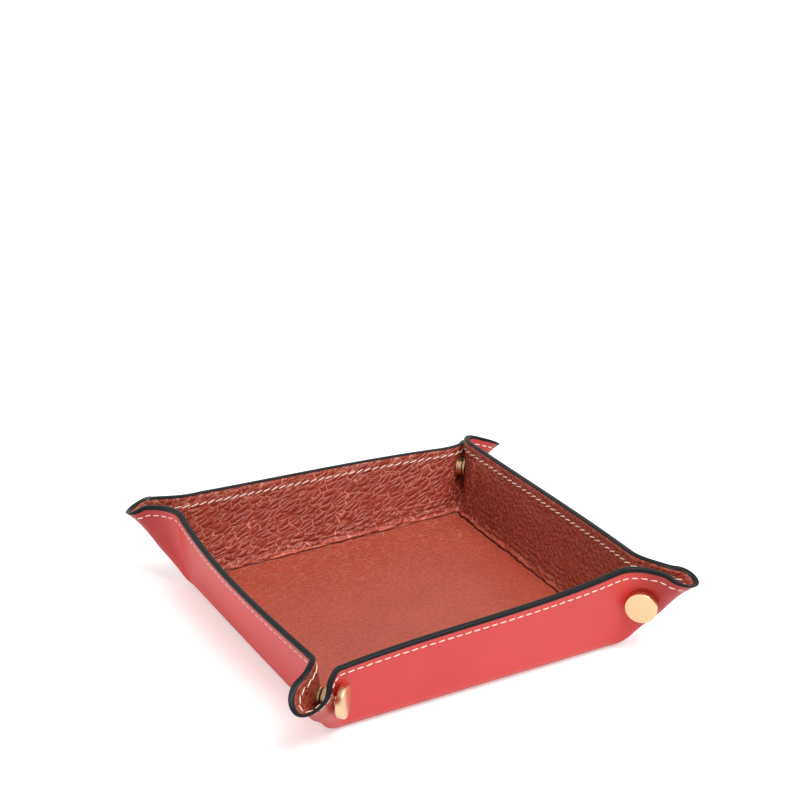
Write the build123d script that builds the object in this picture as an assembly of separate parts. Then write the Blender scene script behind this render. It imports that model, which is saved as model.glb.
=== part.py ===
from build123d import *
from math import atan, cos, pi, radians, sin, sqrt
import os

# A square leather tray. One doubled sheet lies flat as its floor, folds up along the four
# base lines as its walls, and is pinched at each corner by a press stud, so that the corner
# square folds outwards into a hollow ear. X runs along the front wall, the front faces -Y,
# Z is up, and the origin is the centre of the floor on the table.

# Floor and walls, over the outer face
base_width = 130.0
rim_height = 33.0
rim_lean = 6.5
wall_bow = 2.5
base_fold_radius = 5.0

# The layers
outer_leather_thickness = 1.1
board_thickness = 1.0
lining_thickness = 1.1
edge_paint_thickness = 0.9
edge_paint_round = 0.45
board_edge_margin = 5.0
board_corner_radius = 6.0

# The pinched corner, over the outer face
base_corner_radius = 4.0
pinch_height = 16.0
neck_gap = 3.6
neck_bend_radius = 8.0
rim_bend_radius = 14.0
neck_length = 3.0
neck_length_at_base = 0.5
ear_bend_radius = 7.0
ear_drop = 5.5
pinch_angle = 45.0
first_angle = 2.0
ear_spread_at_rim = 36.0

# The press stud. Each corner rises its own way, and its snap with it.
front_left_snap_height = 18.6
front_right_snap_height = 22.0
back_right_snap_height = 20.5
back_left_snap_height = 20.5
snap_setback = 1.3
cap_diameter = 12.5
cap_thickness = 2.7
cap_edge_bevel = 0.35
cap_boss_diameter = 4.6
cap_boss_height = 1.45
cap_back_thickness = 0.5
post_diameter = 3.6
post_head_diameter = 8.0
post_head_thickness = 0.6
post_roll_diameter = 4.6
roll_thickness = 0.3
socket_diameter = 8.8
socket_flange_thickness = 0.6
socket_body_diameter = 7.6
socket_height = 2.5
socket_edge_bevel = 0.35
spring_groove_diameter = 6.4
spring_wire_diameter = 0.5
spring_clearance = 0.05
stud_flange_diameter = 8.2
stud_flange_thickness = 0.75
stud_knob_diameter = 4.8
stud_neck_diameter = 4.1
stud_neck_height = 1.1
stud_knob_flare = 0.25
stud_knob_height = 1.75
stud_top_thickness = 0.3
stud_post_diameter = 3.0
stud_post_roll_diameter = 3.7
stud_post_disc_diameter = 7.0
stud_post_disc_thickness = 0.5

# Clearances
swivel_clearance = 0.05
boss_clearance = 0.4
hole_clearance = 0.1
knob_clearance = 0.1
disc_clearance = 0.1
overrun = 1.0

half_base = base_width / 2
wall_thickness = outer_leather_thickness + lining_thickness
leather_top = rim_height - edge_paint_thickness
board_top = outer_leather_thickness + board_thickness
floor_height = board_top + lining_thickness
socket_bore = stud_knob_diameter + 2 * knob_clearance
neck_half_gap = neck_gap / 2
neck_outer = neck_half_gap + wall_thickness
bow_angle = 2 * atan(wall_bow / half_base)

# Straight pieces that stand for a half corner's bend, neck, spread and ear end, and for a wall
stretch_steps = (3, 1, 2, 6)
wall_steps = 4

# Where the outlines of a wall lie, below and above the height where the pinch is complete
low_wall_shares = (0.5, 1.0)
high_wall_shares = (0.33, 0.66, 1.0)

# Each corner's heading from the centre, the side of its diagonal with the cap, and its snap's height
corners = {"front_left": (225, 1, front_left_snap_height), "front_right": (315, -1, front_right_snap_height),
           "back_right": (45, 1, back_right_snap_height), "back_left": (135, -1, back_left_snap_height)}


def half_width(height):
    """From the centre to the outer face of a wall, at its ends and above the base fold."""
    return half_base + rim_lean * height / rim_height


def shares_at(height):
    """How far the corner is pinched at a height, and how far it has opened again above that."""
    return min(height / pinch_height, 1), max(height - pinch_height, 0) / (rim_height - pinch_height)


def corner_form(height):
    """Angles and radii of the pinched corner's outer face at a height.

    The wall bends outwards by the pinch into the neck, spreads into the ear, and turns
    back round the ear's end to the diagonal.
    """
    pinched, above = shares_at(height)
    pinch = radians(first_angle + (pinch_angle - first_angle) * pinched)
    spread = radians(first_angle + (ear_spread_at_rim - first_angle) * above)
    full_ear = (neck_outer + ear_bend_radius * (1 - cos(spread))) / cos(spread)
    ear = base_corner_radius + (full_ear - base_corner_radius) * pinched
    bow = bow_angle * max(height, overrun) / rim_height
    return pinch, spread, ear, bow


def half_corner(height, inset, width):
    """Half a corner as points along and across its diagonal, from the wall's end to the ear's tip."""
    pinch, spread, ear, bow = corner_form(height)
    pinched, above = shares_at(height)
    bend = neck_bend_radius + (rim_bend_radius - neck_bend_radius) * above + inset
    neck = neck_length_at_base + (neck_length - neck_length_at_base) * pinched
    first = -pi / 4 - bow
    heading = -pi / 4 + pinch
    widest = heading + spread
    # Each stretch has its length, its heading where it starts, and its turn
    stretches = [(bend * (heading - first), first, heading - first), (neck, heading, 0),
                 ((ear_bend_radius + inset) * spread, heading, spread),
                 ((ear - inset) * (widest + pi / 2), widest, -widest - pi / 2)]
    along, across = 0, 0
    points = [(along, across)]
    for (length, start, turn), steps in zip(stretches, stretch_steps):
        for step in range(steps):
            gone = (step + 1) / steps
            if turn:
                radius = length / turn
                now = start + turn * gone
                run = (radius * (sin(now) - sin(start)), radius * (cos(start) - cos(now)))
            else:
                run = (length * gone * cos(start), length * gone * sin(start))
            points.append((along + run[0], across + run[1]))
        along, across = points[-1]
    across_start = -across
    along_start = sqrt(2) * (width - inset) - across_start
    return [(along_start + a, across_start + b) for a, b in points]


def outline(height, inset=0.0, tuck=0.0):
    """The tray's closed outline at a height, inset from the outer face and tucked in by the fold."""
    half = half_corner(height, inset, half_width(height) - tuck)
    bow = corner_form(height)[3]
    both = half + [(along, -across) for along, across in reversed(half[:-1])]
    above = shares_at(height)[1]
    tip_run = half[-1][0] - half[0][0]
    rings = []
    for heading in sorted(corner[0] for corner in corners.values()):
        c, s = cos(radians(heading)), sin(radians(heading))
        points = []
        for along, across in both:
            drop = ear_drop * (above * (along - half[0][0]) / tip_run) ** 2
            points.append(Vector(c * along + s * across, s * along - c * across, height - drop))
        rings.append(points)
    points = []
    for place, ring in enumerate(rings):
        start, end = ring[-1], rings[(place + 1) % len(rings)][0]
        outward = Vector((start + end).X, (start + end).Y, 0).normalized()
        points += ring + wall_points(start, end, outward, bow)
    return points


def wall_points(start, end, outward, bow):
    """Points along one wall's bowed line, between its two ends."""
    half = (end - start).length / 2
    radius = half / sin(bow)
    points = []
    for step in range(1, wall_steps):
        place = step / wall_steps
        across = half * (2 * place - 1)
        rise = sqrt(radius ** 2 - across ** 2) - radius * cos(bow)
        points.append(start + (end - start) * place + outward * rise)
    return points


def sheet_face(inset, bottom):
    """One face of the folded sheet as outlines, from the floor round the base fold to the rim."""
    fold_radius = base_fold_radius - bottom
    sections = []
    for turned in (0, 1, 2):
        angle = turned * pi / 4
        tuck = fold_radius * (1 - sin(angle))
        sections.append(outline(bottom + fold_radius * (1 - cos(angle)), inset, tuck))
    for start, end, shares in ((base_fold_radius, pinch_height, low_wall_shares),
                               (pinch_height, leather_top, high_wall_shares)):
        sections += [outline(start + (end - start) * share, inset) for share in shares]
    return sections


def flat_face(points):
    """A flat face with straight edges."""
    return Face(Wire.make_polygon(points, close=True))


def skin(outlines):
    """The three-sided faces between outlines, each with as many points as the one before it."""
    faces = []
    for lower, upper in zip(outlines, outlines[1:]):
        for here in range(len(lower)):
            onward = (here + 1) % len(lower)
            faces.append(flat_face([lower[here], lower[onward], upper[onward]]))
            faces.append(flat_face([lower[here], upper[onward], upper[here]]))
    return faces


def layer(outside, inside):
    """The solid between two faces of the folded sheet, closed along the rim."""
    faces = skin(outside) + skin(inside) + skin([outside[-1], inside[-1]])
    return Solid(Shell(faces + [flat_face(outside[0]), flat_face(inside[0])]))


def make_edge_paint():
    """The painted bead along the cut edge, rounded towards the outer leather and the lining."""
    rings = [outline(leather_top), outline(leather_top, outer_leather_thickness),
             outline(leather_top, wall_thickness), outline(rim_height, wall_thickness - edge_paint_round),
             outline(rim_height, edge_paint_round), outline(leather_top)]
    return Solid(Shell(skin(rings)))


def make_board():
    """The stiffening board glued between the two leathers under the floor."""
    side = base_width - 2 * board_edge_margin
    board = extrude(RectangleRounded(side, side, board_corner_radius), board_thickness)
    return Pos(0, 0, outer_leather_thickness) * board


def turned(profile):
    """A round piece from its closed half profile of radius and height pairs, round the snap's axis."""
    outline_points = [(radius, 0, height) for radius, height in profile]
    return Solid.revolve(Face(Wire.make_polygon(outline_points)), 360, Axis.Z)


def make_cap():
    """The gold cap: a bevelled disc folded over the head of its post, on a narrower boss."""
    boss_bottom = neck_outer + boss_clearance
    disc_bottom = boss_bottom + cap_boss_height
    top = disc_bottom + cap_thickness
    rim = cap_diameter / 2
    head_bottom = disc_bottom + cap_back_thickness
    head_top = head_bottom + post_head_thickness
    return turned([(0, head_top), (post_head_diameter / 2, head_top),
                   (post_head_diameter / 2, head_bottom), (post_diameter / 2, head_bottom),
                   (post_diameter / 2, boss_bottom), (cap_boss_diameter / 2, boss_bottom),
                   (cap_boss_diameter / 2, disc_bottom), (rim - cap_edge_bevel, disc_bottom),
                   (rim, disc_bottom + cap_edge_bevel), (rim, top - cap_edge_bevel),
                   (rim - cap_edge_bevel, top), (0, top)])


def make_cap_post():
    """The rivet that holds the cap: headed inside it, and rolled out inside the socket."""
    head_bottom = neck_outer + boss_clearance + cap_boss_height + cap_back_thickness
    head_top = head_bottom + post_head_thickness
    roll_top = neck_half_gap - swivel_clearance - socket_flange_thickness
    roll_bottom = roll_top - roll_thickness
    return turned([(0, head_top), (post_head_diameter / 2, head_top), (post_head_diameter / 2, head_bottom),
                   (post_diameter / 2, head_bottom), (post_diameter / 2, roll_top),
                   (post_roll_diameter / 2, roll_top), (post_roll_diameter / 2, roll_bottom),
                   (0, roll_bottom)])


def make_socket():
    """The socket on the lining behind the cap, with its bore and the groove of the ring spring."""
    top = neck_half_gap - swivel_clearance
    flange_bottom = top - socket_flange_thickness
    bottom = neck_half_gap - socket_height
    groove_bottom = spring_height() - spring_wire_diameter / 2 - spring_clearance
    groove_top = spring_height() + spring_wire_diameter / 2 + spring_clearance
    body = socket_body_diameter / 2
    return turned([(post_diameter / 2, top), (post_diameter / 2, flange_bottom),
                   (socket_bore / 2, flange_bottom),
                   (socket_bore / 2, groove_top), (spring_groove_diameter / 2, groove_top),
                   (spring_groove_diameter / 2, groove_bottom), (socket_bore / 2, groove_bottom),
                   (socket_bore / 2, bottom), (body - socket_edge_bevel, bottom),
                   (body, bottom + socket_edge_bevel), (body, flange_bottom),
                   (socket_diameter / 2, flange_bottom), (socket_diameter / 2, top)])


def spring_height():
    """Where the ring spring lies on the snap's axis: under the knob, round the stud's neck."""
    knob_start = stud_flange_thickness + stud_neck_height - neck_half_gap
    return knob_start - spring_wire_diameter / 2 - spring_clearance


def make_ring_spring():
    """The flat wire ring in the socket that grips the stud's neck."""
    inner = stud_neck_diameter / 2 + spring_clearance
    outer = inner + spring_wire_diameter
    low = spring_height() - spring_wire_diameter / 2
    high = low + spring_wire_diameter
    return turned([(inner, low), (outer, low), (outer, high), (inner, high)])


def make_stud():
    """The stud on the other wall's lining: flange, neck and knob, hollow for its post."""
    bottom = -neck_half_gap
    flange_top = bottom + stud_flange_thickness
    knob_start = flange_top + stud_neck_height
    knob_top = flange_top + stud_knob_height
    neck, knob = stud_neck_diameter / 2, stud_knob_diameter / 2
    hollow_top = knob_top - stud_top_thickness
    return turned([(0, knob_top), (0, hollow_top), (stud_post_roll_diameter / 2, hollow_top),
                   (stud_post_roll_diameter / 2, hollow_top - roll_thickness),
                   (stud_post_diameter / 2, hollow_top - roll_thickness), (stud_post_diameter / 2, bottom),
                   (stud_flange_diameter / 2, bottom), (stud_flange_diameter / 2, flange_top),
                   (neck, flange_top), (neck, knob_start), (knob, knob_start + stud_knob_flare),
                   (knob, knob_top - stud_knob_flare), (knob - stud_knob_flare, knob_top)])


def make_stud_post():
    """The headed rivet that holds the stud: its disc lies hidden between the two leathers."""
    disc_top = -(neck_half_gap + lining_thickness)
    disc_bottom = disc_top - stud_post_disc_thickness
    roll_top = stud_flange_thickness + stud_knob_height - stud_top_thickness - neck_half_gap
    roll_bottom = roll_top - roll_thickness
    return turned([(0, disc_bottom), (stud_post_disc_diameter / 2, disc_bottom),
                   (stud_post_disc_diameter / 2, disc_top), (stud_post_diameter / 2, disc_top),
                   (stud_post_diameter / 2, roll_bottom), (stud_post_roll_diameter / 2, roll_bottom),
                   (stud_post_roll_diameter / 2, roll_top), (0, roll_top)])


def snap_plane(heading, side, height):
    """A corner's snap frame: on the diagonal in the neck, Z along the axis towards the cap."""
    half = half_corner(height, 0, half_width(height))
    neck_start = stretch_steps[0]
    neck_end = neck_start + stretch_steps[1]
    along = (half[neck_start][0] + half[neck_end][0]) / 2 - snap_setback
    c, s = cos(radians(heading)), sin(radians(heading))
    return Plane(origin=(c * along, s * along, height), x_dir=(c, s, 0), z_dir=(-side * s, side * c, 0))


def rod(radius, bottom, top):
    """A plain cylinder on the snap's axis."""
    return Pos(0, 0, (bottom + top) / 2) * Cylinder(radius, top - bottom)


def leather_cuts():
    """What one snap presses or cuts out of the leathers.

    Its posts have holes and its hidden disc a pocket. The cap's edge and the socket's press
    shallow seats where the wall and the fold come near them.
    """
    cap_hole = rod(post_diameter / 2 + hole_clearance, neck_half_gap - overrun, neck_outer + overrun)
    disc_top = -(neck_half_gap + lining_thickness)
    disc_bottom = disc_top - stud_post_disc_thickness
    pocket_radius = stud_post_disc_diameter / 2 + disc_clearance
    pocket = rod(pocket_radius, disc_bottom - disc_clearance, disc_top + disc_clearance)
    stud_hole = rod(stud_post_diameter / 2 + hole_clearance, disc_bottom, overrun - neck_half_gap)
    cap_bottom = neck_outer + boss_clearance + cap_boss_height
    cap_seat = rod(cap_diameter / 2 + disc_clearance, cap_bottom - disc_clearance, cap_bottom + cap_thickness)
    seat_half_height = neck_half_gap - swivel_clearance / 2
    socket_seat = rod(socket_diameter / 2 + disc_clearance, -seat_half_height, seat_half_height)
    return [cap_hole, pocket, stud_hole, cap_seat, socket_seat]


def make_leathers():
    """The outer leather and the lining, with the places of the four snaps cut out."""
    between = sheet_face(outer_leather_thickness, outer_leather_thickness)
    outer = layer(sheet_face(0, 0), between)
    lining = layer(sheet_face(outer_leather_thickness, board_top), sheet_face(wall_thickness, floor_height))
    cuts = [snap_plane(*corner) * cut for corner in corners.values() for cut in leather_cuts()]
    return outer - cuts, lining - cuts


def write_part(name, shape):
    """One sub-part to its own file."""
    export_step(shape, "parts/" + name + ".step")


def main():
    os.makedirs("parts", exist_ok=True)
    outer, lining = make_leathers()
    write_part("outer_leather", outer)
    write_part("lining", lining)
    write_part("edge_paint", make_edge_paint())
    write_part("base_board", make_board())
    snap = {"cap": make_cap(), "cap_post": make_cap_post(), "socket": make_socket(),
            "ring_spring": make_ring_spring(), "stud": make_stud(), "stud_post": make_stud_post()}
    for name, corner in corners.items():
        for piece, shape in snap.items():
            write_part(name + "_" + piece, snap_plane(*corner) * shape)


if __name__ == "__main__":
    main()
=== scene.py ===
import bpy
import bmesh
from math import atan, cos, exp, pi, radians, sin, sqrt
from mathutils import Matrix, Vector, noise


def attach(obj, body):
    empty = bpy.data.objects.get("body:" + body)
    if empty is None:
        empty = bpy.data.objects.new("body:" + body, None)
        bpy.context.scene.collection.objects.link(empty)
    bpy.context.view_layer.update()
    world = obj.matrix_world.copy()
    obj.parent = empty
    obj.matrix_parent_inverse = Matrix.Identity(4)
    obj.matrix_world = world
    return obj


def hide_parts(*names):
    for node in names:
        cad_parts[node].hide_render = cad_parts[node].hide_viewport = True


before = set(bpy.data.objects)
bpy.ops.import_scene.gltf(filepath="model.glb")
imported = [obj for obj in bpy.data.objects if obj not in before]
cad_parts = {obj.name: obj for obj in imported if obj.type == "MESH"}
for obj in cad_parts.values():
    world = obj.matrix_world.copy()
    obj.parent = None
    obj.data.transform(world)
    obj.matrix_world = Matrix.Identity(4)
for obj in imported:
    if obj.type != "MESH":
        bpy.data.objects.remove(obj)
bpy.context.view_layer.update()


# The base board. A stiff square of pressed leather fibre, glued between the two leathers
# under the floor. Nothing shows of it, so its solid keeps its shape and gets a dull brown.

def set_values(node, values):
    """Sets a node's own settings, written in small letters, and its sockets' values."""
    for name, value in values.items():
        if name.islower():
            setattr(node, name, value)
        else:
            node.inputs[name.replace("_", " ")].default_value = value


def new_material(name, **values):
    """A material with a Principled shader: itself, its nodes, its links and the shader."""
    material = bpy.data.materials.new(name)
    material.use_nodes = True
    nodes, links = material.node_tree.nodes, material.node_tree.links
    shader = nodes["Principled BSDF"]
    set_values(shader, values)
    return material, nodes, links, shader


def add_node(nodes, kind, **values):
    """A new node with its settings and its sockets' values."""
    node = nodes.new("ShaderNode" + kind)
    set_values(node, values)
    return node


def two_tones(nodes, first, second, start=0.0, end=1.0):
    """A ramp from one colour to another, between two places."""
    tones = nodes.new("ShaderNodeValToRGB")
    for point, place, colour in zip(tones.color_ramp.elements, (start, end), (first, second)):
        point.position = place
        point.color = (*colour, 1)
    return tones


def join_nodes(links, *joints):
    """Links, each written as a node and its output, then a node and its input."""
    for giver, output, taker, socket in joints:
        links.new(giver.outputs[output], taker.inputs[socket])


def mottle(nodes, links, shader, scale, first, second):
    """A fine noise that carries a finish from one tone to another, all over the piece."""
    place = add_node(nodes, "TexCoord")
    speckle = add_node(nodes, "TexNoise", Scale=scale)
    tones = two_tones(nodes, first, second)
    join_nodes(links, (place, "Object", speckle, "Vector"), (speckle, "Fac", tones, "Fac"),
               (tones, "Color", shader, "Base Color"))
    return speckle


def dress(node, material):
    """One material for a solid of the CAD model."""
    solid = bpy.data.objects[node]
    if solid.material_slots:
        for one in solid.material_slots:
            one.material = material
    else:
        solid.data.materials.append(material)


board_brown, nodes, links, shader = new_material("pressed_board_brown", Roughness=0.85)
mottle(nodes, links, shader, 900, (0.10, 0.055, 0.03), (0.24, 0.15, 0.09))
dress("base_board", board_brown)


# The outer leather. One square of smooth red calf, cut flat, turned up along the four base
# lines and pinched at each corner, so that the corner's square folds out into a hollow ear.
# It is held by the press studs alone, so each wall and ear strays a little its own way.

mm = 0.001
base_side = 130.0
rim_height = 33.0
rim_lean = 6.5
wall_bow = 2.5
base_fold_radius = 5.0
outer_thickness = 1.1
lining_thickness = 1.1
wall_thickness = outer_thickness + lining_thickness
board_top = 2.1
floor_height = board_top + lining_thickness
paint_height = 0.9
leather_top = rim_height - paint_height
base_corner_radius = 4.0
pinch_height = 16.0
neck_half_gap = 1.8
neck_outer = neck_half_gap + wall_thickness
neck_bend_radius = 8.0
neck_length = 3.0
neck_length_at_base = 0.5
ear_bend_radius = 7.0
ear_drop = 5.5
pinch_angle = 45.0
first_angle = 2.0
bow_angle = 2 * atan(wall_bow / (base_side / 2))
corner_headings = (225, 315, 45, 135)
wall_normals = ((0, -1), (1, 0), (0, 1), (-1, 0))

# Each corner's own form at the rim: the radius of the bend into the neck, the neck's length,
# the radius of the bend into the ear and the ear's spread in degrees.
rim_forms = ((8.5, 0.8, 4.6, 41.5), (18.99, 0.95, 5.26, 38.4),
             (11.33, 1.91, 6.51, 43.0), (21.24, 0.33, 4.6, 43.0))

# How the leather strays at the rim, in mm. Corners run front left, front right, back right,
# back left: how far the ear's tip goes outwards, across and up, and how far the neck opens.
ear_strays = ((3.2, 1.78, -3.63), (-0.64, -1.67, 3.14), (-0.7, 7.99, -5.4), (-2.89, 2.66, 2.6))
neck_strays = (-1.53, -1.51, 1.8, -1.49)
# Walls run front, right, back, left: the rise of the rim at the wall's start, end and middle
# and its lopsided part, then how far the wall bulges, evenly and lopsidedly.
rim_strays = ((-1.71, 5.51, 0.14, -1.18), (4.23, 1.11, -0.71, -0.17),
              (-1.83, 4.97, -0.29, -0.38), (5.24, 0.62, -0.73, 0.77))
bulge_strays = ((-0.99, 1.47), (-0.87, -0.3), (-0.2, -0.45), (0.83, -0.62))
# The powers by which these fade down the walls, the height from which a neck opens, and how
# soon it closes again along the ear.
stray_fade, rise_fade = 1.5, 2
neck_opens_from, neck_closing = 19.0, 1.1
# How far an ear's ridge fills out half way up, and the ear's share that its bend takes.
ear_fill, ear_bend_share = 2.2, 0.3

bend_steps, neck_steps, spread_steps, tip_steps, wall_steps = 10, 4, 8, 20, 110


def eased(share):
    """A share from 0 to 1 with a soft start and end."""
    share = max(0.0, min(1.0, share))
    return share * share * (3 - 2 * share)


def above_pinch(height):
    """The share of the way from the pinch up to the rim."""
    return max(height - pinch_height, 0) / (rim_height - pinch_height)


def corner_form(corner, height):
    """A corner's pinch, spread, ear radius, bend, neck and ear bend at a height."""
    pinched = min(height / pinch_height, 1)
    above = above_pinch(height)
    rim_bend, rim_neck, rim_ear_bend, rim_spread = rim_forms[corner]
    bend = neck_bend_radius + (rim_bend - neck_bend_radius) * above
    neck = neck_length + (rim_neck - neck_length) * above
    neck = neck_length_at_base + (neck - neck_length_at_base) * pinched
    ear_bend = ear_bend_radius + (rim_ear_bend - ear_bend_radius) * above
    pinch = radians(first_angle + (pinch_angle - first_angle) * pinched)
    spread = radians(first_angle + (rim_spread - first_angle) * above)
    full_ear = (neck_outer + ear_bend * (1 - cos(spread))) / cos(spread)
    ear = base_corner_radius + (full_ear - base_corner_radius) * pinched
    return pinch, spread, ear, bend, neck, ear_bend


def wall_bow_at(height):
    """Half the angle of a wall's bowed line at a height."""
    return bow_angle * max(height, 1) / rim_height


def half_corner(corner, height, inset, tuck):
    """From a wall's end to the ear's tip: along and across the diagonal, to_neck and to_tip."""
    pinch, spread, ear, bend, neck, ear_bend = corner_form(corner, height)
    first = -pi / 4 - wall_bow_at(height)
    heading = -pi / 4 + pinch
    widest = heading + spread
    stretches = (((bend + inset) * (heading - first), first, heading - first, bend_steps),
                 (neck, heading, 0, neck_steps),
                 ((ear_bend + inset) * spread, heading, spread, spread_steps),
                 ((ear - inset) * (widest + pi / 2), widest, -widest - pi / 2, tip_steps))
    along, across = 0.0, 0.0
    points = [(along, across, 0.0, 0.0)]
    for place, (length, start, turn, steps) in enumerate(stretches):
        for step in range(1, steps + 1):
            gone = step / steps
            if turn:
                now, radius = start + turn * gone, length / turn
                forward = radius * (sin(now) - sin(start))
                sideways = radius * (cos(start) - cos(now))
            else:
                forward, sideways = length * gone * cos(start), length * gone * sin(start)
            to_neck = gone if place == 0 else 1.0
            to_tip = (0.0, 0.0, ear_bend_share * gone,
                      ear_bend_share + (1 - ear_bend_share) * gone)[place]
            points.append((along + forward, across + sideways, to_neck, to_tip))
        along, across = points[-1][:2]
    width = base_side / 2 + rim_lean * height / rim_height - tuck
    first_along = sqrt(2) * (width - inset) + across
    return [(first_along + a, b - across, n, t) for a, b, n, t in points]


def rim_rise(wall, place):
    """How much the rim of a wall rises, at a place from -1 to 1 along it."""
    start, end, middle, lopsided = rim_strays[wall]
    bump = 1 - place * place
    return start * (1 - place) / 2 + end * (1 + place) / 2 + (middle + lopsided * place) * bump


def leather_ring(height, inset=0.0, tuck=0.0):
    """The leather's closed outline at a height, in mm, with all that it strays."""
    bow = wall_bow_at(height)
    above = above_pinch(height)
    high, risen = (height / rim_height) ** stray_fade, (height / rim_height) ** rise_fade
    filled = ear_fill * sin(pi * height / rim_height)
    opened = max(height - neck_opens_from, 0) / (rim_height - neck_opens_from)
    quarters = []
    for corner, heading in enumerate(corner_headings):
        c, s = cos(radians(heading)), sin(radians(heading))
        outwards, across_stray, upwards = ear_strays[corner]
        half = half_corner(corner, height, inset, tuck)
        tip_run = half[-1][0] - half[0][0]
        quarter = []
        for side, run in ((1, half), (-1, half[-2::-1])):
            wall, place = ((corner + 3) % 4, 1) if side > 0 else (corner, -1)
            for along, across, to_neck, to_tip in run:
                drop = ear_drop * (above * (along - half[0][0]) / tip_run) ** 2
                out_here = eased(to_tip)
                pull = out_here * high
                opening = neck_strays[corner] * opened ** stray_fade * eased(to_neck)
                opening *= 1 - eased(to_tip * neck_closing)
                a = along + outwards * pull + filled * out_here
                b = side * (across - opening) + across_stray * pull
                rise = rim_rise(wall, place) * (1 - out_here) * risen
                z = height - drop + upwards * pull + rise
                quarter.append(Vector((c * a + s * b, s * a - c * b, z)))
        quarters.append(quarter)
    ring = []
    for wall, quarter in enumerate(quarters):
        ring += quarter
        start, end = quarter[-1], quarters[(wall + 1) % 4][0]
        half_length = (end - start).xy.length / 2
        radius = half_length / sin(bow)
        even, lopsided = bulge_strays[wall]
        for step in range(1, wall_steps):
            place = 2 * step / wall_steps - 1
            out = sqrt(radius ** 2 - (half_length * place) ** 2) - radius * cos(bow)
            out += (1 - place * place) * (even + lopsided * place) * high
            point = start.lerp(end, step / wall_steps)
            point.z = height + rim_rise(wall, place) * risen
            ring.append(point + Vector((*wall_normals[wall], 0)) * out)
    return ring


def floor_rings(edge, shares, height):
    """A flat floor as smaller and smaller copies of its edge, from the middle outwards."""
    return [[Vector((p.x * share, p.y * share, height)) for p in edge] for share in shares]


def sheet_rings(inset, bottom, fold_steps):
    """One face of a folded sheet as rings, from the middle of its floor up to its rim."""
    fold_radius = base_fold_radius - bottom
    rings = floor_rings(leather_ring(bottom, inset, fold_radius), few_shares, bottom)
    for step in range(fold_steps):
        angle = step / fold_steps * pi / 2
        height = bottom + fold_radius * (1 - cos(angle))
        rings.append(leather_ring(height, inset, fold_radius * (1 - sin(angle))))
    return rings + [leather_ring(height, inset) for height in wall_heights]


def bands(around, rows, closed):
    """Four-sided faces between each ring of points and the next."""
    faces = []
    for row in range(rows if closed else rows - 1):
        next_row = (row + 1) % rows
        for place in range(around):
            onward = (place + 1) % around
            faces.append((row * around + place, row * around + onward,
                          next_row * around + onward, next_row * around + place))
    return faces


def smooth_piece(name, points, faces):
    """A piece from points in metres and faces, turned outwards and shaded smooth."""
    mesh = bpy.data.meshes.new(name)
    mesh.from_pydata([tuple(p) for p in points], [], faces)
    shape = bpy.data.objects.new(name, mesh)
    bpy.context.collection.objects.link(shape)
    turned = bmesh.new()
    turned.from_mesh(mesh)
    bmesh.ops.recalc_face_normals(turned, faces=turned.faces)
    turned.to_mesh(mesh)
    turned.free()
    for polygon in mesh.polygons:
        polygon.use_smooth = True
    return shape


def closed_skin(name, rings):
    """A closed solid from rings that start and end at the middle of the floor."""
    around = len(rings[0])
    points = [p * mm for ring in rings for p in ring]
    faces = bands(around, len(rings), closed=False)
    last = (len(rings) - 1) * around
    for first, turned in ((0, True), (last, False)):
        middle = len(points)
        centre = sum((points[first + i] for i in range(around)), Vector()) / around
        points.append(centre)
        for place in range(around):
            pair = (first + place, first + (place + 1) % around)
            faces.append((middle, *(reversed(pair) if turned else pair)))
    return smooth_piece(name, points, faces)


wall_rows = 26
wall_heights = [base_fold_radius + (leather_top - base_fold_radius) * i / wall_rows
                for i in range(wall_rows + 1)]
few_shares = [0.02, 0.25, 0.5, 0.75, 0.9]
glue_gap = 0.05
glued_side = outer_thickness - glue_gap
outside = sheet_rings(0, 0, fold_steps=7)
inside = sheet_rings(glued_side, glued_side, fold_steps=5)
outer_leather = closed_skin("calf_outside", outside + inside[::-1])

# Red calf: faintly mottled, with fine pores, and with painted shade on the ears, where the
# distances from both middle lines add up to more than 126 mm.
calf_red, nodes, links, shader = new_material("smooth_red_calf", Roughness=0.38,
                                              Specular_IOR_Level=0.5)
place = add_node(nodes, "TexCoord")
tone_noise = add_node(nodes, "TexNoise", Scale=35, Detail=3)
tone = two_tones(nodes, (0.63, 0.040, 0.036), (0.69, 0.048, 0.042), 0.3, 0.7)
axes = add_node(nodes, "SeparateXYZ")
off_x = add_node(nodes, "Math", operation="ABSOLUTE")
off_y = add_node(nodes, "Math", operation="ABSOLUTE")
off_both = add_node(nodes, "Math", operation="ADD")
# Painted shade: the red is darkened on the ears, which turn away from the light.
ear_shade_share = add_node(nodes, "MapRange", interpolation_type="SMOOTHSTEP",
                  From_Min=0.126, From_Max=0.150, To_Max=0.75)
ear_shade = add_node(nodes, "Mix", data_type="RGBA")
ear_shade.inputs[7].default_value = (0.36, 0.014, 0.013, 1)
pores = add_node(nodes, "TexVoronoi", Scale=2600)
pores_bump = add_node(nodes, "Bump", Strength=0.12, Distance=0.00005)
join_nodes(links, (place, "Object", tone_noise, "Vector"), (tone_noise, "Fac", tone, "Fac"),
           (place, "Object", axes, "Vector"), (axes, "X", off_x, 0), (axes, "Y", off_y, 0),
           (off_x, "Value", off_both, 0), (off_y, "Value", off_both, 1),
           (off_both, "Value", ear_shade_share, "Value"), (ear_shade_share, "Result", ear_shade, "Factor"),
           (tone, "Color", ear_shade, 6), (ear_shade, 2, shader, "Base Color"),
           (place, "Object", pores, "Vector"), (pores, "Distance", pores_bump, "Height"),
           (pores_bump, "Normal", shader, "Normal"))
outer_leather.data.materials.append(calf_red)

# Laid flat, the sheet is the floor with a wall's run, from base line to rim, at each side.
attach(outer_leather, "tray")
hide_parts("outer_leather")


# The lining. A second square of tumbled, pebbled calf in red brown, glued to the first and
# folded with it. Where the walls turn up from the floor it is squeezed into fine creases.

floor_steps = 22
floor_shares = [0.02] + [i / floor_steps for i in range(1, floor_steps)] + [0.97, 0.985]
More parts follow.
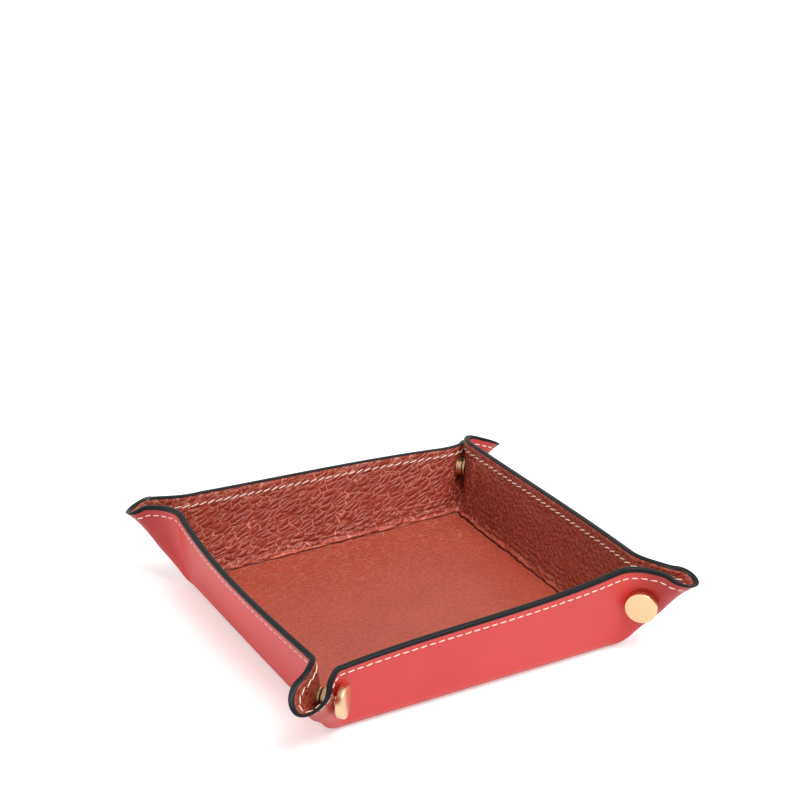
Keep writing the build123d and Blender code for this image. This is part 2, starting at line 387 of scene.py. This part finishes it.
# The fold at the walls' foot, as heights and how far the leather is tucked in at each.
fold_path = ((3.2, 2.1), (3.1, 1.85), (2.8, 1.55), (2.5, 1.3), (2.45, 1.1), (2.7, 0.95),
             (3.1, 0.95), (3.5, 0.98), (3.9, 0.85), (4.4, 0.5), (4.9, 0.15), (5.3, 0.0))
fold_top = 5.3
creased_rows, row_height = 19, 0.33
plain_rows, plain_from = 18, 11.6
lining_top = leather_top + 0.45
lining_heights = [fold_top + row_height * i for i in range(1, creased_rows + 1)]
lining_heights += [plain_from + (lining_top - plain_from) * i / plain_rows
                   for i in range(1, plain_rows + 1)]

# The creases: their depth, from what height and over how much height it grows, and then
# above what height and how fast it fades.
crease_depth = 1.2
crease_start, crease_growth = 2.2, 1.5
crease_full, crease_fade = 4.6, 3.0
# Their pattern along a wall, from wall to wall and up it, for noises of three sizes.
wander_grain = (0.055, 7.3, 0.12)
fine_grain = (0.3, 3.1, 0.7)
split_grain, split_slant, split_sharpness = (0.15, 5.7, 0.75), 0.22, 3
wave_start, wave_pitch, wave_wander, wave_slant = 3.4, 2.1, 1.2, 0.012
wave_share, fine_share, split_share, middle_push = 0.25, 0.3, 0.7, 0.2
fold_sag = 0.22


def creased(ring, height):
    """The lining's ring with the creases that run along the foot of each wall."""
    grown = min(1, max(height - crease_start, 0) / crease_growth)
    depth = crease_depth * grown * exp(-max(height - crease_full, 0) / crease_fade)
    quarter = len(ring) // 4
    bends = quarter - (wall_steps - 1)
    result = []
    for number, point in enumerate(ring):
        wall = number // quarter
        step = number % quarter - bends
        if step < 0:
            near = min(step + bends, -step)
            wall = wall if -step < bends / 2 else (wall + 3) % 4
            fade = max(0.0, 1 - near / bend_steps)
        else:
            fade = 1.0
        side = Vector((*wall_normals[wall], 0))
        along = point.x * side.y - point.y * side.x
        run, part, up = wander_grain
        wander = noise.noise(Vector((along * run, wall * part, height * up)))
        run, part, up = fine_grain
        fine = noise.noise(Vector((along * run, wall * part, height * up)))
        run, part, up = split_grain
        split = noise.noise(Vector((along * run + height * split_slant, wall * part,
                                    height * up)))
        wave = sin(2 * pi * ((height - wave_start) / wave_pitch + wave_wander * wander
                             + wave_slant * along))
        push = depth * fade * (wave_share * wave + fine_share * fine
                               + split_share * min(1, split_sharpness * abs(split))
                               - middle_push)
        sag = fold_sag * fade * fine if height < fold_top else 0.0
        result.append(point - side * push + Vector((0, 0, sag)))
    return result


floor_edge = leather_ring(fold_path[0][0], wall_thickness, fold_path[0][1])
face_rings = floor_rings(floor_edge, floor_shares, floor_height)
face_rings += [creased(leather_ring(height, wall_thickness, tuck), height)
               for height, tuck in fold_path]
face_rings += [creased(leather_ring(height, wall_thickness), height)
               for height in lining_heights]
glued_rings = sheet_rings(outer_thickness + glue_gap, board_top, fold_steps=4)
lining = closed_skin("calf_lining", glued_rings + face_rings[::-1])

# Brown calf: long pebbles, drawn out along a slant, with painted highlights along their
# borders, and a fine grain over them. They stand high on the walls and are pressed flat on the
# floor.
calf_brown, nodes, links, shader = new_material("pebbled_brown_calf", Roughness=0.4,
                                                Specular_IOR_Level=0.36)
place = add_node(nodes, "TexCoord")
axes = add_node(nodes, "SeparateXYZ")
warp_noise = add_node(nodes, "TexNoise", Scale=220)
warp = add_node(nodes, "Mix", data_type="VECTOR", Factor=0.002)
draw = add_node(nodes, "Mapping", vector_type="TEXTURE", Rotation=(0, radians(-22), 0),
                Scale=(3.1, 1, 1))
borders = add_node(nodes, "TexVoronoi", feature="DISTANCE_TO_EDGE", Scale=500)
grain = add_node(nodes, "TexVoronoi", feature="SMOOTH_F1", Scale=750, Smoothness=0.35)
broken = add_node(nodes, "TexNoise", Scale=230)
fine = add_node(nodes, "TexNoise", Scale=1700, Detail=3)
patches = add_node(nodes, "TexNoise", Scale=45)
join_nodes(links, (place, "Object", warp_noise, "Vector"), (place, "Object", warp, 4),
           (warp_noise, "Color", warp, 5), (warp, 1, draw, "Vector"),
           (draw, "Vector", borders, "Vector"))
for pattern in (grain, broken, fine, patches, axes):
    join_nodes(links, (place, "Object", pattern, "Vector"))

# Where a point lies: on the wall, at its foot, in the groove, or towards the back.
on_wall = add_node(nodes, "MapRange", From_Min=0.0033, From_Max=0.0050)
at_foot = add_node(nodes, "MapRange", From_Min=0.0045, From_Max=0.0125, To_Min=0.45,
                   To_Max=0.2)
in_groove = add_node(nodes, "MapRange", From_Min=0.0028, From_Max=0.0034)
near_back = add_node(nodes, "MapRange", From_Min=0.010, From_Max=0.058)
for share in (on_wall, at_foot, in_groove):
    join_nodes(links, (axes, "Z", share, "Value"))
join_nodes(links, (axes, "Y", near_back, "Value"))

# The relief: pebbles, then grain, then the finest pores.
pebble_form = add_node(nodes, "MapRange", interpolation_type="SMOOTHSTEP", From_Max=0.4)
pebble_strength = add_node(nodes, "MapRange", To_Min=0.12, To_Max=0.78)
pebble_bump = add_node(nodes, "Bump", Distance=0.0005)
grain_bump = add_node(nodes, "Bump", invert=True, Strength=0.3, Distance=0.0003)
fine_bump = add_node(nodes, "Bump", Strength=0.2, Distance=0.0001)
join_nodes(links, (borders, "Distance", pebble_form, "Value"),
           (pebble_form, "Result", pebble_bump, "Height"),
           (on_wall, "Result", pebble_strength, "Value"),
           (pebble_strength, "Result", pebble_bump, "Strength"),
           (pebble_bump, "Normal", grain_bump, "Normal"),
           (grain, "Distance", grain_bump, "Height"),
           (grain_bump, "Normal", fine_bump, "Normal"), (fine, "Fac", fine_bump, "Height"),
           (fine_bump, "Normal", shader, "Normal"))

# How strong a border's painted highlight is: broken up along its length, and strongest towards
# the back.
border_form = add_node(nodes, "MapRange", interpolation_type="SMOOTHSTEP", From_Max=0.07,
                       To_Min=1.0, To_Max=0.0)
broken_form = add_node(nodes, "MapRange", From_Min=0.3, From_Max=0.6)
wall_line = add_node(nodes, "Math", operation="MULTIPLY")
line_most = add_node(nodes, "Math", operation="MAXIMUM")
line_share = add_node(nodes, "Math", operation="MULTIPLY")
line_level = add_node(nodes, "Math", operation="MULTIPLY")
join_nodes(links, (borders, "Distance", border_form, "Value"),
           (broken, "Fac", broken_form, "Value"), (border_form, "Result", line_share, 0),
           (broken_form, "Result", line_share, 1), (on_wall, "Result", wall_line, 0),
           (at_foot, "Result", wall_line, 1), (wall_line, "Value", line_most, 0),
           (near_back, "Result", line_most, 1), (line_share, "Value", line_level, 0),
           (line_most, "Value", line_level, 1))

# The colour: painted light in the floor's tone and painted shade in the wall's, darker grain
# gaps, painted highlights along the borders, painted shade in the groove.
# Painted light and shade: one leather, given a lighter tone on the floor and a darker one on
# the walls.
shaded_wall_tone = two_tones(nodes, (0.30, 0.040, 0.018), (0.36, 0.052, 0.024), 0.35, 0.7)
lit_floor_tone = two_tones(nodes, (0.60, 0.096, 0.047), (0.66, 0.112, 0.055), 0.35, 0.7)
base = add_node(nodes, "Mix", data_type="RGBA")
gap_share = add_node(nodes, "MapRange", From_Min=0.38, From_Max=0.62, To_Max=0.25)
gapped = add_node(nodes, "Mix", data_type="RGBA")
gapped.inputs[7].default_value = (0.16, 0.022, 0.012, 1)
# Painted highlight: a light colour along the pebble borders.
border_highlight = add_node(nodes, "Mix", data_type="RGBA")
border_highlight.inputs[7].default_value = (0.70, 0.29, 0.20, 1)
# Painted shade: a near black colour in the groove at the walls' foot.
groove_shade = add_node(nodes, "Mix", data_type="RGBA")
groove_shade.inputs[6].default_value = (0.035, 0.008, 0.006, 1)
join_nodes(links, (patches, "Fac", shaded_wall_tone, "Fac"), (patches, "Fac", lit_floor_tone, "Fac"),
           (on_wall, "Result", base, "Factor"), (lit_floor_tone, "Color", base, 6),
           (shaded_wall_tone, "Color", base, 7), (grain, "Distance", gap_share, "Value"),
           (gap_share, "Result", gapped, "Factor"), (base, 2, gapped, 6),
           (line_level, "Value", border_highlight, "Factor"), (gapped, 2, border_highlight, 6),
           (in_groove, "Result", groove_shade, "Factor"), (border_highlight, 2, groove_shade, 7),
           (groove_shade, 2, shader, "Base Color"))
lining.data.materials.append(calf_brown)

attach(lining, "tray")
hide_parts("lining")


# The edge paint. The cut edges of both leathers are sealed together by coats of soft black
# paint, sanded between, which stand a little proud of them as one rounded, satin bead.

# The bead's section, as distances in from the outer face and heights.
bead_profile = ((-0.02, 31.5), (-0.13, 31.65), (-0.17, 31.95), (-0.13, 32.4), (0.1, 32.75),
                (0.5, 32.95), (0.95, 32.99), (1.1, 32.93), (1.25, 32.99), (1.7, 32.96),
                (2.1, 32.87), (2.26, 32.75), (2.28, 32.66), (2.2, 32.55), (1.1, 32.0))
bead_rings = [leather_ring(height, inset) for inset, height in bead_profile]
edge_bead = smooth_piece("edge_bead", [p * mm for ring in bead_rings for p in ring],
                         bands(len(bead_rings[0]), len(bead_rings), closed=True))

paint_black, nodes, links, shader = new_material("satin_black_edge_paint", Roughness=0.38,
                                                 Specular_IOR_Level=0.16)
paint_noise = mottle(nodes, links, shader, 500, (0.003, 0.003, 0.004), (0.008, 0.008, 0.010))
paint_bump = add_node(nodes, "Bump", Strength=0.1, Distance=0.0001)
join_nodes(links, (paint_noise, "Fac", paint_bump, "Height"),
           (paint_bump, "Normal", shader, "Normal"))
edge_bead.data.materials.append(paint_black)
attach(edge_bead, "tray")
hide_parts("edge_paint")


# The stitching. One seam of cream thread holds both leathers together all round, a few
# millimetres under the edge. Outside it lies straight; inside each stitch slants a little.

seam_height = 29.4
stitch_pitch = 3.7
stitch_width = 0.54
stitch_bluntness = 0.6
stitch_proud = 0.02
slant_sway, sway_rhythm = 4, 2.3


def deselect_all():
    """Leaves nothing selected, so that an operator acts only on what it adds."""
    for other in bpy.context.selected_objects:
        other.select_set(False)


def one_stitch(name, stitch_length):
    """A short loop of thread along X at the origin, as a low mesh."""
    deselect_all()
    bpy.ops.mesh.primitive_uv_sphere_add(segments=8, ring_count=6, radius=0.5,
                                         location=(0, 0, 0), rotation=(0, pi / 2, 0))
    stitch = bpy.context.active_object
    stitch.name = name
    bpy.ops.object.transform_apply(location=False, rotation=True, scale=False)
    for vertex in stitch.data.vertices:
        x = vertex.co.x * 2
        blunt = abs(x) ** stitch_bluntness
        vertex.co.x = stitch_length / 2 * blunt * (1 if x > 0 else -1)
        vertex.co.y *= stitch_width
        vertex.co.z *= stitch_width
    return stitch


def seam(name, inset, slant, outward, stitch_length):
    """Stitches evenly spaced along the leather's outline, on one of its faces."""
    line = leather_ring(seam_height, inset)
    below = leather_ring(seam_height - 1, inset)
    start = one_stitch(name + "_start", stitch_length)
    shape = [v.co.copy() for v in start.data.vertices]
    start_faces = [tuple(p.vertices) for p in start.data.polygons]
    bpy.data.objects.remove(start)
    lengths = [(line[(i + 1) % len(line)] - line[i]).length for i in range(len(line))]
    total = sum(lengths)
    count = round(total / stitch_pitch)
    points, faces = [], []
    at, gone = 0, 0.0
    for number in range(count):
        target = (number + 0.5) * total / count
        while gone + lengths[at] < target:
            gone += lengths[at]
            at += 1
        share = (target - gone) / lengths[at]
        onward = (at + 1) % len(line)
        centre = line[at].lerp(line[onward], share)
        under = below[at].lerp(below[onward], share)
        tangent = (line[onward] - line[at]).normalized()
        face_up = (centre - under).normalized()
        normal = tangent.cross(face_up).normalized() * outward
        face_up = normal.cross(tangent)
        turn = radians(slant) + radians(slant_sway) * sin(number * sway_rhythm)
        lengthwise = tangent * cos(turn) + face_up * sin(turn)
        sideways = normal.cross(lengthwise)
        stitch_turn = Matrix((lengthwise, sideways, normal)).transposed()
        first = len(points)
        points += [(centre + normal * stitch_proud + stitch_turn @ v) * mm for v in shape]
        faces += [tuple(first + i for i in f) for f in start_faces]
    return smooth_piece(name, points, faces)


thread_cream, nodes, links, shader = new_material("cream_waxed_thread", Roughness=0.6)
place = add_node(nodes, "TexCoord")
ply = add_node(nodes, "TexWave", Scale=900, Distortion=2)
ply_bump = add_node(nodes, "Bump", Strength=0.4, Distance=0.00008)
ply_colour = two_tones(nodes, (0.78, 0.62, 0.50), (0.95, 0.85, 0.74))
join_nodes(links, (place, "Object", ply, "Vector"), (ply, "Fac", ply_bump, "Height"),
           (ply, "Fac", ply_colour, "Fac"), (ply_bump, "Normal", shader, "Normal"),
           (ply_colour, "Color", shader, "Base Color"))
for name, inset, slant, outward, length, slot in (
        ("outer_stitches", 0, 2, 1, 2.8, "outer_leather"),
        ("inner_stitches", wall_thickness, 17, -1, 3.5, "lining")):
    stitched = seam(name, inset, slant, outward, length)
    stitched.data.materials.append(thread_cream)
    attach(stitched, "tray")


# The press studs. Each corner has a gold cap on a post, its socket with a ring spring behind
# it, and a stud on the other side of the pinch. The caps are plated in pale gold and
# polished; what lies behind them is duller turned brass, its colour darkened as painted shade,
# with a ring of steel wire.

def metal(name, roughness, scale, first, second):
    """A turned or drawn metal, faintly mottled."""
    material, nodes, links, shader = new_material(name, Metallic=1, Roughness=roughness)
    mottle(nodes, links, shader, scale, first, second)
    return material


gold = metal("polished_pale_gold", 0.25, 300, (0.76, 0.55, 0.31), (0.82, 0.61, 0.36))
# Painted shade: the brass behind the caps is darkened to stand in for the shade it sits in.
shade_darkened_brass = metal("turned_brass_darkened_for_shade", 0.34, 500, (0.42, 0.27, 0.14), (0.56, 0.38, 0.21))
wire_steel = metal("drawn_spring_steel", 0.3, 800, (0.5, 0.49, 0.46), (0.72, 0.7, 0.66))

# Distances along a snap's axis are from the upright plane through the corner's diagonal.
cap_radius = 6.25
cap_back = 5.85
cap_depth = 2.7
cap_bevel, bevelled_above = 0.3, 60
cap_sides, boss_sides = 120, 48
smooth_below = 20
boss_radius = 2.3
boss_bottom = 4.4
boss_overlap = 0.2


def turned_disc(radius, back, depth, sides):
    """A plain disc round Z, with its place in its mesh."""
    bpy.ops.mesh.primitive_cylinder_add(vertices=sides, radius=radius * mm, depth=depth * mm,
                                        location=(0, 0, (back + depth / 2) * mm))
    bpy.ops.object.transform_apply(location=True, rotation=False, scale=False)
    return bpy.context.active_object


def turned_cap(name, heading, side, reach, height):
    """A cap: a disc with a rounded edge, on its narrower boss, at its corner."""
    deselect_all()
    cap = turned_disc(cap_radius, cap_back, cap_depth, cap_sides)
    cap.name = name
    bevel = cap.modifiers.new("edge", "BEVEL")
    bevel.width = cap_bevel * mm
    bevel.segments = 3
    bevel.limit_method = "ANGLE"
    bevel.angle_limit = radians(bevelled_above)
    bpy.ops.object.modifier_apply(modifier="edge")
    cap.select_set(False)
    boss_depth = cap_back - boss_bottom + boss_overlap
    turned_disc(boss_radius, boss_bottom, boss_depth, boss_sides)
    cap.select_set(True)
    bpy.context.view_layer.objects.active = cap
    bpy.ops.object.join()
    c, s = cos(radians(heading)), sin(radians(heading))
    axis = Vector((-side * s, side * c, 0))
    outwards = Vector((c, s, 0))
    turn = Matrix((outwards, axis.cross(outwards), axis)).transposed().to_4x4()
    reach *= sqrt(2)
    turn.translation = Vector((c * reach, s * reach, height)) * mm
    cap.data.transform(turn)
    bpy.ops.object.shade_smooth_by_angle(angle=radians(smooth_below))
    return cap


# Each corner's heading, the side of it that its cap is on, how far its snap is from both
# middle lines of the tray, and how high.
for corner, heading, side, reach, height in (
        ("front_left", 225, 1, 68.5802, 18.6), ("front_right", 315, -1, 69.5964, 22.0),
        ("back_right", 45, 1, 69.1483, 20.5), ("back_left", 135, -1, 69.1483, 20.5)):
    cap = turned_cap(corner + "_cap_disc", heading, side, reach, height)
    cap.data.materials.append(gold)
    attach(cap, corner + "_button")
    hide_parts(corner + "_cap")
    for node in ("cap_post", "socket", "stud", "stud_post"):
        dress(corner + "_" + node, shade_darkened_brass)
    dress(corner + "_ring_spring", wire_steel)


# The studio: a pale floor, white all round, a soft lamp above and in front, a weak low one
# behind on the left, and the camera of the photograph.

bpy.ops.mesh.primitive_plane_add(size=6, location=(0, 0, -0.00002))
studio_floor = bpy.context.active_object
studio_floor.name = "studio_floor"
floor_white, nodes, links, shader = new_material(
    "pale_floor", Base_Color=(0.9, 0.9, 0.9, 1), Roughness=0.9, Specular_IOR_Level=0.1,
    Emission_Color=(1, 1, 1, 1))
rays = add_node(nodes, "LightPath")
reflected = add_node(nodes, "Math", operation="MAXIMUM")
mirrored = add_node(nodes, "Math", operation="MULTIPLY")
mirrored.inputs[1].default_value = 0.25
any_seen = add_node(nodes, "Math", operation="MAXIMUM")
paper_level = add_node(nodes, "Math", operation="MULTIPLY")
paper_level.inputs[1].default_value = 0.42
join_nodes(links, (rays, "Is Glossy Ray", reflected, 0),
           (rays, "Is Transmission Ray", reflected, 1), (reflected, 0, mirrored, 0),
           (rays, "Is Camera Ray", any_seen, 0), (mirrored, 0, any_seen, 1),
           (any_seen, 0, paper_level, 0), (paper_level, 0, shader, "Emission Strength"))
studio_floor.data.materials.append(floor_white)

world = bpy.data.worlds.new("studio")
bpy.context.scene.world = world
world.use_nodes = True
nodes, links = world.node_tree.nodes, world.node_tree.links
background = nodes["Background"]
set_values(background, {"Color": (1, 1, 1, 1)})
rays = add_node(nodes, "LightPath")
seen = add_node(nodes, "Math", operation="MAXIMUM")
seen_too = add_node(nodes, "Math", operation="MAXIMUM")
level = add_node(nodes, "MapRange", To_Min=0.5, To_Max=1.0)
join_nodes(links, (rays, "Is Camera Ray", seen, 0), (rays, "Is Glossy Ray", seen, 1),
           (seen, 0, seen_too, 0), (rays, "Is Transmission Ray", seen_too, 1),
           (seen_too, 0, level, "Value"), (level, "Result", background, "Strength"))


def soft_lamp(name, power, size, place, aim):
    """A square lamp, turned towards a point."""
    light = bpy.data.lights.new(name, "AREA")
    light.energy = power
    light.size = size
    lamp = bpy.data.objects.new(name, light)
    lamp.location = place
    lamp.rotation_euler = (Vector(aim) - lamp.location).to_track_quat("-Z", "Y").to_euler()
    bpy.context.collection.objects.link(lamp)


soft_lamp("key", 19.5, 0.9, (0.2, -0.68, 1.28), (0, 0, 0))
soft_lamp("low_card", 1.7, 0.3, (-0.75, 0.45, 0.12), (-0.08, -0.02, 0.015))

photo_width, focal_pixels = 800, 2045.1
camera_lens = bpy.data.cameras.new("camera")
camera_lens.sensor_width = 36
camera_lens.lens = focal_pixels / photo_width * camera_lens.sensor_width
camera_lens.clip_end = 50
camera = bpy.data.objects.new("camera", camera_lens)
camera.location = (-0.3445, -0.6321, 0.4111)
yaw, pitch, roll = radians(28.621), radians(23.76), radians(-0.36)
looking = Vector((sin(yaw) * cos(pitch), cos(yaw) * cos(pitch), -sin(pitch)))
turn = looking.to_track_quat("-Z", "Y").to_matrix() @ Matrix.Rotation(roll, 3, "Z")
camera.rotation_euler = turn.to_euler()
bpy.context.collection.objects.link(camera)
bpy.context.scene.camera = camera
bpy.context.scene.view_settings.view_transform = "Standard"
